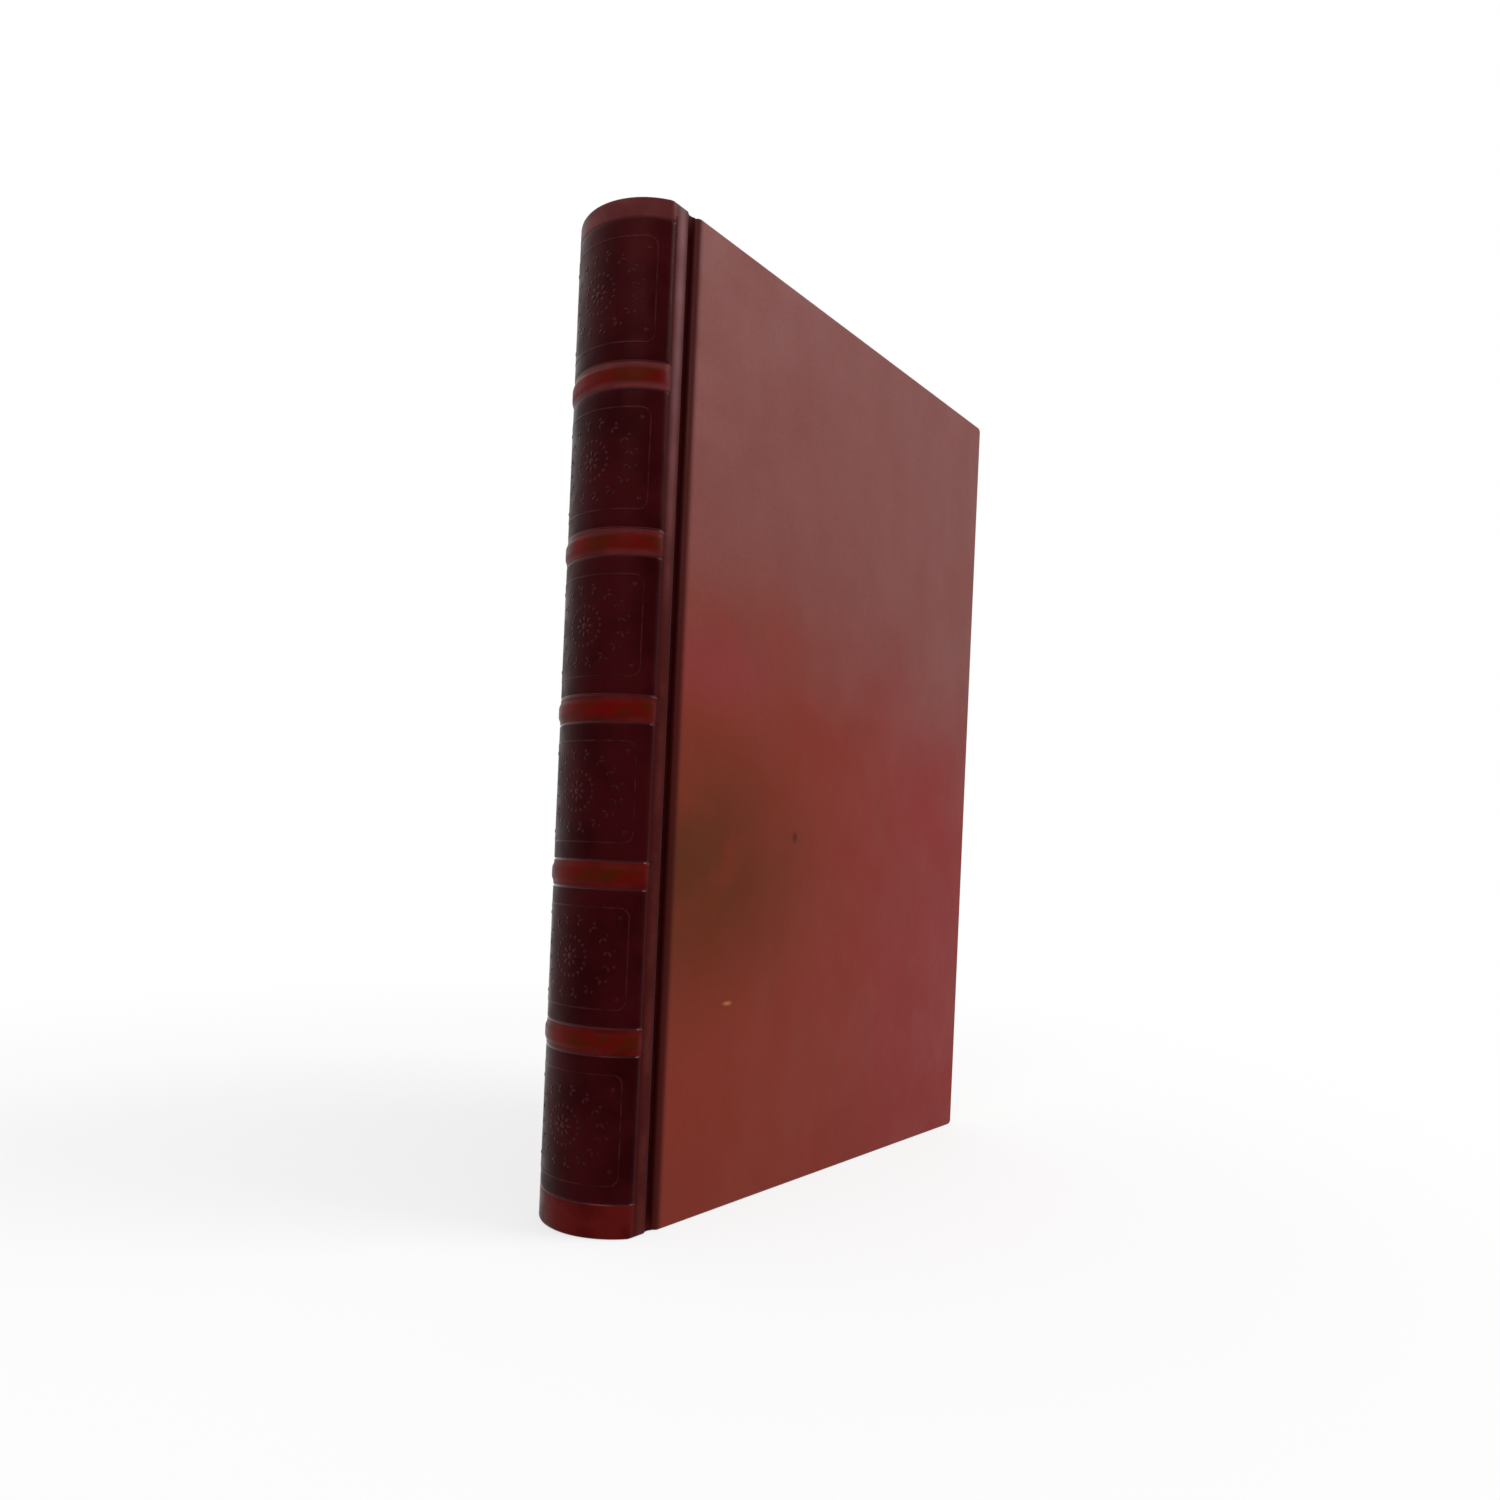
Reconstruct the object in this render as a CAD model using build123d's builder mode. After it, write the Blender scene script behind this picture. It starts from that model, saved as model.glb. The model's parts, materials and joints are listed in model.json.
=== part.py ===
from build123d import *

import os
from math import sqrt

# Leather-bound book, standing on its tail edges, in millimetres.
# +Z runs from tail to head, +X from the spine to the fore-edge, and the front cover is on the -Y side.
# The origin is the middle of the base. The book is the same on both sides of the XZ plane, so its
# thickness is built up from faces: distances from that plane to a surface.

# Overall sizes, over the leather
overall_length = 166.5
overall_thickness = 31.0
cover_height = 240.0

# Thickness of each layer
leather = 0.8
turn_in = 0.5
board = 2.5
endpaper = 0.2
lining = 0.5
inlay = 1.0

# Rounded back, the flat strip beside it and the sunk joint
spine_rise = 8.7
shoulder_round = 2.0
shoulder_drop = 0.5
strip_width = 5.1
strip_bevel = 0.6
groove_width = 2.4

# Raised bands
band_count = 5
band_pitch = 38.4
lowest_band = 45.4
band_relief = 0.4
band_side_relief = 0.2
band_core_height = 2.4
band_bevel = 0.6

# Lines tooled into the spine: a frame in each of the six panels
line_width = 0.6
line_depth = 0.25
band_line_margin = 0.9
frame_reach = 0.9
head_line_margin = 4.6
tail_line_margin = 7.8

# Covers
edge_bevel = 0.6
cover_corner = 1.5
turn_in_width = 14.0
paste_margin = 3.5

# Pages and the worked bands at their ends
square = 3.0
fore_square = 3.5
fore_edge_dish = 4.0
headband_width = 2.0
headband_bevel = 0.6
cap_overhang = 1.1

# Clearances
cover_gap = 0.3
joint_slit = 0.3
joint_fill = 0.4
cap_gap = 0.2

# Faces of the covers, the endpapers and the pages, from the outside in
cover_face = overall_thickness / 2
board_face = cover_face - leather
board_back = board_face - board
turn_in_back = board_back - turn_in
pastedown_back = turn_in_back - endpaper
flyleaf_face = pastedown_back - cover_gap
block_face = flyleaf_face - endpaper

# Faces of the strip beside the back, and of the leather at the bottom of the joint
strip_face = cover_face - shoulder_drop
shoulder_face = strip_face - leather
joint_back = turn_in_back + joint_fill
joint_face = joint_back + leather

# The back is one arc that runs through a small corner round into the flat strip
corner_y = strip_face - shoulder_round
spine_radius = (spine_rise**2 + corner_y**2 - shoulder_round**2) / (2 * (spine_rise - shoulder_round))
inlay_radius = spine_radius - leather
lining_radius = inlay_radius - inlay
block_radius = lining_radius - lining

# Places along the book, from the spine to the fore-edge
crest_x = -overall_length / 2 + band_relief
round_x = crest_x + spine_radius
corner_x = crest_x + spine_rise
groove_x = corner_x + strip_width
shoulder_x = groove_x - leather
hinge_x = groove_x + groove_width / 2
cover_x = groove_x + groove_width
board_x = cover_x + leather
fore_x = overall_length / 2
page_x = fore_x - fore_square
root_round = joint_back - flyleaf_face

# Heights
block_height = cover_height - 2 * square
headband_height = square - leather - cap_gap
band_height = band_core_height + 2 * leather
band_heights = [lowest_band + band_pitch * step for step in range(band_count)]
line_offset = band_height / 2 + band_line_margin
panel_feet = [tail_line_margin] + [height + line_offset for height in band_heights]
panel_heads = [height - line_offset for height in band_heights] + [cover_height - head_line_margin]


def rounded_back(radius, face, corner, end_x):
    """Plan of a rounded back: an arc, two corner rounds and straight sides as far as end_x."""
    middle_y = face - corner
    middle_x = round_x - sqrt((radius - corner) ** 2 - middle_y**2)
    reach = radius / (radius - corner)
    meet_x = round_x + (middle_x - round_x) * reach
    meet_y = middle_y * reach
    with BuildSketch() as plan:
        with BuildLine():
            arc = ThreePointArc((meet_x, -meet_y), (round_x - radius, 0), (meet_x, meet_y))
            rear = TangentArc(arc @ 1, (middle_x, face), tangent=arc % 1)
            front = TangentArc(arc @ 0, (middle_x, -face), tangent=(arc % 0) * -1)
            Polyline(rear @ 1, (end_x, face), (end_x, -face), front @ 1)
        make_face()
    return plan.sketch


def within_leather(end_x):
    """Plan of all that lies within the spine leather, as far as end_x."""
    return rounded_back(inlay_radius, shoulder_face, shoulder_round - leather, end_x)


def add_strip(low_x, high_x, face):
    """Plan rectangle between two places along the book, out to the same face on both sides."""
    with Locations((low_x, 0)):
        Rectangle(high_x - low_x, 2 * face, align=(Align.MIN, Align.CENTER))


def keep_left_of(limit_x):
    """Cut the plan off at limit_x."""
    with Locations((limit_x, 0)):
        Rectangle(overall_length, 2 * cover_face, align=(Align.MAX, Align.CENTER), mode=Mode.INTERSECT)


def add_sheet(low_x, high_x, margin):
    """Upright rectangle between two places along the book, inside the cover's head and tail by margin."""
    with Locations((low_x, margin)):
        Rectangle(high_x - low_x, cover_height - 2 * margin, align=(Align.MIN, Align.MIN))


def band_leather(height):
    """Leather moulded over one band core, with bevelled edges."""
    band_face = strip_face + band_side_relief
    with BuildPart() as band:
        with BuildSketch(Plane.XY.offset(height - band_height / 2)):
            add(rounded_back(spine_radius + band_relief, band_face, shoulder_round, groove_x))
            keep_left_of(corner_x + leather)
        extrude(amount=band_height)
        chamfer(band.faces().filter_by(Axis.Z).edges(), band_bevel)
    return band.part


def tooled_line(low_x, high_x, low_z, high_z):
    """Cutter for a shallow line in the rounded back, on both sides, between two places and two heights."""
    radius, face, corner = spine_radius - line_depth, strip_face - line_depth, shoulder_round - line_depth
    with BuildPart() as line:
        with BuildSketch(Plane.XY.offset(low_z)):
            add(rounded_back(spine_radius, strip_face, shoulder_round, groove_x))
            add(rounded_back(radius, face, corner, groove_x), mode=Mode.SUBTRACT)
            with Locations(((low_x + high_x) / 2, 0)):
                Rectangle(high_x - low_x, 2 * cover_face, mode=Mode.INTERSECT)
        extrude(amount=high_z - low_z)
    return line.part


def tooled_frame(side_x, foot_z, head_z):
    """Cutters for a frame of lines with its two sides at side_x."""
    return [
        tooled_line(crest_x, side_x, foot_z, foot_z + line_width),
        tooled_line(crest_x, side_x, head_z - line_width, head_z),
        tooled_line(side_x - line_width, side_x, foot_z, head_z),
    ]


def rear_of(front):
    """The same piece on the other side of the book."""
    with BuildPart() as rear:
        mirror(front.part, about=Plane.XZ)
    rear.part.label = front.part.label.replace("front", "rear")
    return rear


# Text block: the sewn pages, rounded and backed, with a dished fore-edge
with BuildPart() as text_block:
    with BuildSketch(Plane.XY.offset(square)):
        with Locations((round_x, 0)):
            Circle(block_radius)
        keep_left_of(corner_x)
        add_strip(corner_x, shoulder_x, shoulder_face)
        add_strip(corner_x, page_x, block_face)
        with BuildLine():
            dish = ThreePointArc((page_x, -block_face), (page_x - fore_edge_dish, 0), (page_x, block_face))
            Line(dish @ 0, dish @ 1)
        make_face(mode=Mode.SUBTRACT)
    extrude(amount=block_height)
    upright = text_block.edges().filter_by(Axis.Z)
    by_shoulder = upright.filter_by_position(Axis.X, corner_x + leather, groove_x)
    fillet(by_shoulder.filter_by_position(Axis.Y, -block_face, block_face), root_round)
text_block.part.label = "text_block"

# Flyleaf: the free half of the endpaper, lying on the pages
with BuildPart() as front_flyleaf:
    with BuildSketch(Plane.XZ.offset(block_face)):
        add_sheet(shoulder_x + root_round, page_x, square)
    extrude(amount=endpaper)
front_flyleaf.part.label = "front_flyleaf"

# Spine lining: mull and paper glued over the back of the pages
with BuildPart() as spine_lining:
    with BuildSketch(Plane.XY.offset(square)):
        with Locations((round_x, 0)):
            Circle(lining_radius)
            Circle(block_radius, mode=Mode.SUBTRACT)
        keep_left_of(corner_x)
    extrude(amount=block_height)
spine_lining.part.label = "spine_lining"

# Spine inlay: thin card that stiffens the spine leather
with BuildPart() as spine_inlay:
    with BuildSketch(Plane.XY.offset(leather)):
        add(within_leather(groove_x))
        with Locations((round_x, 0)):
            Circle(lining_radius, mode=Mode.SUBTRACT)
        keep_left_of(corner_x)
    extrude(amount=cover_height - 2 * leather)
spine_inlay.part.label = "spine_inlay"

# Band cores: card strips glued on the inlay, one under each raised band
core_face = shoulder_face + band_side_relief
core_plan = rounded_back(inlay_radius + band_relief, core_face, shoulder_round - leather, groove_x)
band_cores = []
for number, height in enumerate(band_heights, start=1):
    with BuildPart() as band_core:
        with BuildSketch(Plane.XY.offset(height - band_core_height / 2)):
            add(core_plan)
            add(within_leather(groove_x), mode=Mode.SUBTRACT)
            keep_left_of(corner_x)
        extrude(amount=band_core_height)
    band_core.part.label = f"band_core_{number}"
    band_cores.append(band_core)

# Headband and tailband: worked silk on the ends of the pages' back
with BuildPart() as headband:
    with BuildSketch(Plane.XY.offset(cover_height - square)):
        with Locations((round_x, 0)):
            Circle(block_radius)
            Circle(block_radius - headband_width, mode=Mode.SUBTRACT)
            Rectangle(2 * spine_radius, 2 * block_face, mode=Mode.INTERSECT)
        keep_left_of(round_x)
    extrude(amount=headband_height)
    chamfer(headband.edges().group_by(Axis.Z)[-1].filter_by(GeomType.CIRCLE), headband_bevel)
headband.part.label = "headband"

with BuildPart() as tailband:
    mirror(headband.part, about=Plane.XY.offset(cover_height / 2))
tailband.part.label = "tailband"

# Spine leather: moulded over the back and the band cores, tooled, and turned in at head and tail
with BuildPart() as spine_leather:
    with BuildSketch():
        add(rounded_back(spine_radius, strip_face, shoulder_round, groove_x))
        chamfer(vertices().group_by(Axis.X)[-1], strip_bevel)
        add_strip(corner_x, hinge_x - joint_slit / 2, joint_face)
    extrude(amount=cover_height)
    for end in (0, -1):
        chamfer(faces().group_by(Axis.Z)[end].edges().filter_by(GeomType.CIRCLE), edge_bevel)
    for height in band_heights:
        add(band_leather(height))
    with BuildSketch():
        add(within_leather(shoulder_x))
        add_strip(corner_x, cover_x, joint_back)
    extrude(amount=cover_height, mode=Mode.SUBTRACT)
    with BuildSketch(Plane.XY, Plane.XY.offset(cover_height - leather)):
        add(within_leather(groove_x))
        with Locations((round_x, 0)):
            Circle(block_radius - cap_overhang, mode=Mode.SUBTRACT)
        keep_left_of(corner_x)
    extrude(amount=leather)
    for core in band_cores:
        add(core.part, mode=Mode.SUBTRACT)
    for foot, head in zip(panel_feet, panel_heads):
        add(tooled_frame(corner_x + frame_reach, foot, head), mode=Mode.SUBTRACT)
spine_leather.part.label = "spine_leather"

# Board of the front cover
with BuildPart() as front_board:
    with BuildSketch(Plane.XZ.offset(board_back)):
        add_sheet(board_x, fore_x - leather, leather)
    extrude(amount=board)
    fillet(front_board.edges().filter_by(Axis.Y).group_by(Axis.X)[-1], cover_corner - leather)
front_board.part.label = "front_board"

# Infill: thin card that levels the inside of the board between the turned-in leather
with BuildPart() as front_infill:
    with BuildSketch(Plane.XZ.offset(turn_in_back)):
        add_sheet(board_x, fore_x - turn_in_width, turn_in_width)
    extrude(amount=turn_in)
front_infill.part.label = "front_infill"

# Pastedown: the pasted half of the endpaper, which reaches from the joint over the turned-in leather
with BuildPart() as front_pastedown:
    with BuildSketch(Plane.XZ.offset(pastedown_back)):
        add_sheet(hinge_x + joint_slit / 2, fore_x - paste_margin, paste_margin)
    extrude(amount=endpaper)
front_pastedown.part.label = "front_pastedown"

# Front cover leather: over the board, turned in on three sides, and down into the joint on the fourth
with BuildPart() as front_cover_leather:
    with BuildSketch(Plane.XZ.offset(turn_in_back)):
        add_sheet(cover_x, fore_x, 0)
    extrude(amount=cover_face - turn_in_back)
    fillet(front_cover_leather.edges().filter_by(Axis.Y).group_by(Axis.X)[-1], cover_corner)
    chamfer(front_cover_leather.faces().filter_by(Axis.Y).edges(), edge_bevel)
    with BuildSketch(Plane.XZ.offset(turn_in_back)):
        add_sheet(hinge_x, board_x, 0)
    extrude(amount=joint_fill, mode=Mode.SUBTRACT)
    with BuildSketch(Plane.XZ.offset(joint_back)):
        add_sheet(hinge_x + joint_slit / 2, board_x, 0)
    extrude(amount=leather)
    add(front_board.part, mode=Mode.SUBTRACT)
    add(front_infill.part, mode=Mode.SUBTRACT)
front_cover_leather.part.label = "front_cover_leather"

front_pieces = [front_flyleaf, front_board, front_infill, front_pastedown, front_cover_leather]
rear_pieces = [rear_of(piece) for piece in front_pieces]

os.makedirs("parts", exist_ok=True)
spine_pieces = [text_block, spine_lining, spine_inlay, *band_cores, headband, tailband, spine_leather]
for piece in spine_pieces + front_pieces + rear_pieces:
    export_step(piece.part, f"parts/{piece.part.label}.step")
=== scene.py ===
# %% [markdown]
# # Dressing a leather-bound book
# The solids of the book are already measured and fixed: boards, pages, endpapers and a plain leather
# case. This lesson gives them their looks. The leather is modelled again as a fine skin with moulded
# bands, tooled lines and a soft cap, the joints get a strip of leather of their own, and
# every surface gets a finish made from nodes. Everything is in metres and shares the frame of the solids,
# so nothing is fitted.

# %% Load the measured solids
import json
from math import asin, cos, degrees, hypot, pi, radians, sin

import bmesh
import bpy
from mathutils import Matrix, Vector


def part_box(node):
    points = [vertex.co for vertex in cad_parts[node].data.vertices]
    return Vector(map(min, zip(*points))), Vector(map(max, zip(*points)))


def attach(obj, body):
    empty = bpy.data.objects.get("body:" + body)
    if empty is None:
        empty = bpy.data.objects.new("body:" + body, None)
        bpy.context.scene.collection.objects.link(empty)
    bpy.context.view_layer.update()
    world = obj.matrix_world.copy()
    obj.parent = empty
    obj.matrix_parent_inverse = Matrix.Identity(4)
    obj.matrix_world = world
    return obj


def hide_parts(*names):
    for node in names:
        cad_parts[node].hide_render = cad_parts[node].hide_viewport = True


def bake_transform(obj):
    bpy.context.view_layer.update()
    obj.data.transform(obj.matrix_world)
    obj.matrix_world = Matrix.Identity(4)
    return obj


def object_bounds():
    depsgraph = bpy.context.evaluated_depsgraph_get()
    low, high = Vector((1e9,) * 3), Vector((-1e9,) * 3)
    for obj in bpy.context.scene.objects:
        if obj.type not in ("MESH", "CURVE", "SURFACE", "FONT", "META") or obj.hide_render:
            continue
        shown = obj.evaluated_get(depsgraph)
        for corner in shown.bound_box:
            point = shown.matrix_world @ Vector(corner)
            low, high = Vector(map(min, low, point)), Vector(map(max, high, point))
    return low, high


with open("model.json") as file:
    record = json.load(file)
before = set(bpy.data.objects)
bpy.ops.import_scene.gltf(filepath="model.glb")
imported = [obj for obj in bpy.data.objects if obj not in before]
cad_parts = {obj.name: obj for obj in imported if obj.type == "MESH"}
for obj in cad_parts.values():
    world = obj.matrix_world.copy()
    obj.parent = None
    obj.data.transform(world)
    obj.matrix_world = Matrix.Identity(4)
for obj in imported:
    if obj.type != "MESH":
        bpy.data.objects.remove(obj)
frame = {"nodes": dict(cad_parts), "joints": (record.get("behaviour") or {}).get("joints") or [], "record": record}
solid_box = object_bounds()
print("Solids span", [[round(value, 4) for value in corner] for corner in solid_box])

# %% [markdown]
# ## Camera
# The picture was taken close to the book, with the lens level and a little rolled. A wide lens stands
# close to the spine, so the head and tail edges run steeply to the fore-edge. The view is moved up within
# the image by a shift, as a cropped photograph is, and not by tilting, so that the upright edges stay
# almost parallel.

# %% Place the camera
mm = 0.001
eye = Vector((-257.5, -187.2, 90.2)) * mm
heading = radians(52.19)
roll = radians(2.48)
spine_middle = (-0.07, 0, 0.12)

ahead = Vector((sin(heading), cos(heading), 0))
level = Vector((cos(heading), -sin(heading), 0))
upward = level.cross(ahead)
right = cos(roll) * level + sin(roll) * upward
top = -sin(roll) * level + cos(roll) * upward

camera_data = bpy.data.cameras.new("camera")
camera_data.sensor_width = 36
camera_data.lens = 26.04
camera_data.shift_y = 0.0689
camera_data.clip_start = 0.01
camera = bpy.data.objects.new("camera", camera_data)
bpy.context.scene.collection.objects.link(camera)
camera.matrix_world = Matrix.Translation(eye) @ Matrix((right, top, -ahead)).transposed().to_4x4()
bpy.context.scene.camera = camera
print("Camera stands", round((eye - Vector(spine_middle)).length, 3), "m from the spine")

# %% [markdown]
# ## Places on the book
# A rounded back is one arc that runs through a small corner round into a flat strip, and then drops into
# the joint. These few sizes give its plan. The rest is read from the boxes of the solids, so the skin
# stays on what carries it.

# %% Sizes of the spine and the joint
low, high = solid_box
height = high.z
cover_face = high.y
hinge_x = frame["joints"][0]["pos_m"][0]

leather = 0.8 * mm
edge_round = 0.7 * mm
band_relief = 0.4 * mm
groove_width = 2.4 * mm
strip_width = 5.1 * mm
spine_rise = 8.7 * mm
corner_round = 2.0 * mm
strip_face = cover_face - 0.5 * mm

groove_x = hinge_x - groove_width / 2
cover_x = hinge_x + groove_width / 2
corner_x = groove_x - strip_width
crest_x = corner_x - spine_rise
corner_y = strip_face - corner_round
back_radius = (spine_rise**2 + corner_y**2 - corner_round**2) / (2 * (spine_rise - corner_round))
back_x = crest_x + back_radius
back_angle = asin(corner_y / (back_radius - corner_round))
print("Radius of the back", round(back_radius / mm, 2), "mm, half angle", round(degrees(back_angle), 1))

# %% Heights of the bands and the tooled frames
band_heights = []
for number in range(1, 6):
    core_low, core_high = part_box(f"band_core_{number}")
    band_heights.append((core_low.z + core_high.z) / 2)
band_half = (core_high.z - core_low.z) / 2 + leather

line_width = 0.6 * mm
line_depth = 0.25 * mm
line_margin = band_half + 0.9 * mm
tail_margin = 7.8 * mm
head_margin = 4.6 * mm
panel_feet = [tail_margin] + [z + line_margin for z in band_heights]
panel_heads = [z - line_margin for z in band_heights] + [height - head_margin]
line_x = corner_x + 0.9 * mm - line_width / 2
print("Bands at", [round(z / mm, 1) for z in band_heights])

# %% [markdown]
# ## Small helpers
# Modelling by operators is the same few moves again and again: begin a piece, choose some of its points
# by their place, and move or turn what is chosen. Each move is a helper of a few lines.

# %% Begin and end a piece
def pick(*pieces):
    """Selects pieces and nothing else, and makes the first one active."""
    bpy.ops.object.select_all(action="DESELECT")
    for piece in pieces:
        piece.select_set(True)
    bpy.context.view_layer.objects.active = pieces[0]


def begin(name, add_primitive, place, span, **settings):
    """Adds a primitive at its place, stretches it by a span each way and opens it in edit mode."""
    bpy.ops.object.select_all(action="DESELECT")
    add_primitive(location=place, **settings)
    piece = bpy.context.object
    piece.name = piece.data.name = name
    bpy.ops.object.transform_apply(location=True, rotation=True, scale=True)
    bpy.ops.object.mode_set(mode="EDIT")
    bpy.ops.mesh.select_all(action="SELECT")
    bpy.ops.transform.resize(value=span, center_override=place)
    return piece


def begin_sheet(name, place, span, rotation):
    """A rectangle to start from, turned into its plane."""
    return begin(name, bpy.ops.mesh.primitive_plane_add, place, span, size=1, rotation=rotation)


def begin_upright(name, x, y, foot, head):
    """A single upright edge to start from."""
    place = (x, y + mm / 2, (foot + head) / 2)
    piece = begin_sheet(name, place, (1, mm, head - foot), (0, pi / 2, 0))
    choose(piece, "VERT", lambda p: p.y > y + mm / 2)
    bpy.ops.mesh.delete(type="VERT")
    return piece


def end(piece, threshold=0.01 * mm):
    """Merges doubled points, turns the faces outwards and leaves edit mode."""
    bpy.ops.mesh.select_all(action="SELECT")
    bpy.ops.mesh.remove_doubles(threshold=threshold)
    bpy.ops.mesh.normals_make_consistent(inside=False)
    faces = bmesh.from_edit_mesh(piece.data).faces
    middle = Vector((0, 0, height / 2))
    if sum(f.calc_area() * f.normal.dot(f.calc_center_median() - middle) for f in faces) < 0:
        bpy.ops.mesh.flip_normals()
    bpy.ops.object.mode_set(mode="OBJECT")
    return piece


# %% Choose by place
def choose(piece, kind, test):
    """Selects the points, edges or faces that have every point where the test says."""
    bpy.ops.mesh.select_mode(type=kind)
    bpy.ops.mesh.select_all(action="DESELECT")
    mesh = bmesh.from_edit_mesh(piece.data)
    for element in {"VERT": mesh.verts, "EDGE": mesh.edges, "FACE": mesh.faces}[kind]:
        points = [element] if kind == "VERT" else element.verts
        if all(test(point.co) for point in points):
            element.select_set(True)
    mesh.select_flush_mode()
    bmesh.update_edit_mesh(piece.data)


def near(value, target, reach=0.02 * mm):
    return abs(value - target) < reach


# %% Move, turn and cut what is chosen
def pull(x=0.0, y=0.0, z=0.0):
    """Extrudes what is selected by a distance."""
    bpy.ops.mesh.extrude_region_move(TRANSFORM_OT_translate={"value": (x, y, z)})


def turn(angle, centre, steps):
    """Extrudes what is selected round an upright line, anticlockwise from above for a positive angle."""
    bpy.ops.mesh.spin(steps=steps, angle=-angle, center=centre, axis=(0, 0, 1))


def cut(place, normal):
    """Cuts the whole mesh along a plane."""
    bpy.ops.mesh.select_all(action="SELECT")
    bpy.ops.mesh.bisect(plane_co=place, plane_no=normal)


def cut_rows(heights):
    """Cuts the whole mesh level at each height."""
    for z in heights:
        cut((0, 0, z), (0, 0, 1))


# %% Finish a piece
def apply_modifier(piece, kind, **settings):
    """Adds a modifier with its settings and applies it."""
    pick(piece)
    modifier = piece.modifiers.new(kind.lower(), kind)
    for setting, value in settings.items():
        setattr(modifier, setting, value)
    bpy.ops.object.modifier_apply(modifier=modifier.name)


def smooth(piece, angle=40):
    """Shades a piece smooth, apart from edges sharper than the angle."""
    pick(piece)
    bpy.ops.object.shade_smooth_by_angle(angle=radians(angle))


def mirrored(piece, name):
    """A copy of a piece on the other side of the book, with its faces turned outwards again."""
    pick(piece)
    bpy.ops.object.duplicate()
    copy = bpy.context.object
    copy.name = copy.data.name = name
    bpy.ops.object.mode_set(mode="EDIT")
    bpy.ops.mesh.select_all(action="SELECT")
    bpy.ops.transform.resize(value=(1, -1, 1), center_override=(0, 0, 0))
    bpy.ops.mesh.flip_normals()
    bpy.ops.object.mode_set(mode="OBJECT")
    return copy


# %% [markdown]
# ## Spine leather
# On the real book this is one skin, pasted over the rounded back and turned over at head and tail, where
# it is folded double. It could be a bent sheet, but then its ends would have no fold. So it starts as a
# cross profile from tail fold to head fold, and that profile is turned round the corner and the back, and
# drawn along the strips. Rows of points are cut first where bands and lines will be, because relief needs
# points.

# %% Rows for the relief
def spaced(start, stop, step):
    """Even steps from start to stop."""
    count = max(1, round((stop - start) / step))
    return [start + (stop - start) * i / count for i in range(count + 1)]


def rows_about(z, offsets):
    """Rows at a height and at each offset above and below it."""
    return [z] + [z + side * offset for offset in offsets for side in (-1, 1)]


band_offsets = [offset * mm for offset in (0.4, 0.8, 1.1, 1.3, 1.5, 1.7, 1.9, 2.1, 2.35, 2.7)]
line_offsets = [offset * mm for offset in (0.15, 0.3, 0.5)]
line_centres = [z + line_width / 2 for z in panel_feet] + [z - line_width / 2 for z in panel_heads]
fine_rows = set()
for z in band_heights:
    fine_rows.update(rows_about(z, band_offsets))
for z in line_centres:
    fine_rows.update(rows_about(z, line_offsets))
plain_rows = [
    z for z in spaced(2 * edge_round, height - 2 * edge_round, 1.6 * mm)
    if all(abs(z - row) > 0.7 * mm for row in fine_rows)
]
rows = sorted(fine_rows) + plain_rows
print("Rows of points", len(rows))

# %% Profile of the folded leather
fold = 2 * leather
profile_x = groove_x - edge_round
spine_skin = begin_sheet(
    "spine_skin", (profile_x, -strip_face + fold / 2, height / 2), (1, fold, height), (0, pi / 2, 0)
)
choose(spine_skin, "EDGE", lambda p: p.y > -strip_face + fold / 2)
bpy.ops.mesh.delete(type="EDGE")
choose(spine_skin, "VERT", lambda p: p.y < -strip_face + fold / 2)
bpy.ops.mesh.bevel(offset=edge_round, segments=4, affect="VERTICES")
cut_rows(rows)
print("Points in the profile", len(bmesh.from_edit_mesh(spine_skin.data).verts))

# %% Draw it along the strips and round the back
line_columns = [line_x + offset * mm for offset in (0.5, 0.3, 0.15, 0, -0.15, -0.3, -0.5)]
strip_columns = [profile_x, profile_x - 1.5 * mm] + line_columns + [corner_x]
corner_angle = pi / 2 - back_angle
corner_steps = 7
back_steps = 64
bpy.ops.mesh.select_all(action="SELECT")
for start, stop in zip(strip_columns, strip_columns[1:]):
    pull(x=stop - start)
turn(-corner_angle, (corner_x, -corner_y, 0), corner_steps)
turn(-2 * back_angle, (back_x, 0, 0), back_steps)
turn(-corner_angle, (corner_x, corner_y, 0), corner_steps)
for stop, start in reversed(list(zip(strip_columns, strip_columns[1:]))):
    pull(x=stop - start)
print("Columns of points", 2 * len(strip_columns) + 2 * corner_steps + back_steps - 1)

# %% Round the strips into the joints
wall_foot = cover_face - 3.0 * mm
for side in (1, -1):
    choose(
        spine_skin, "EDGE", lambda p: near(p.x, profile_x) and side * p.y > strip_face - 1.05 * edge_round
    )
    turn(-side * pi / 2, (profile_x, side * (strip_face - edge_round), 0), 4)
    pull(y=-side * (strip_face - edge_round - wall_foot))
print("Walls of the joints go down to", round(wall_foot / mm, 1), "mm from the middle of the book")

# %% Shape the caps
cap_radius = back_radius - fold
cap_end = back_x - cap_radius * cos(back_angle)
for level_z, dip in ((0, 1), (height, -1)):
    choose(
        spine_skin, "EDGE",
        lambda p: near(p.z, level_z) and near(hypot(p.x - back_x, p.y), cap_radius)
        and p.x < cap_end + 0.01 * mm,
    )
    for share, drop in ((0.9, 0.05 * mm), (0.86, 0.35 * mm)):
        pull(z=dip * drop)
        bpy.ops.transform.resize(value=(share, 1, 1), center_override=(cap_end, 0, level_z))
end(spine_skin)
print("Spine skin has", len(spine_skin.data.polygons), "faces")

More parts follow.
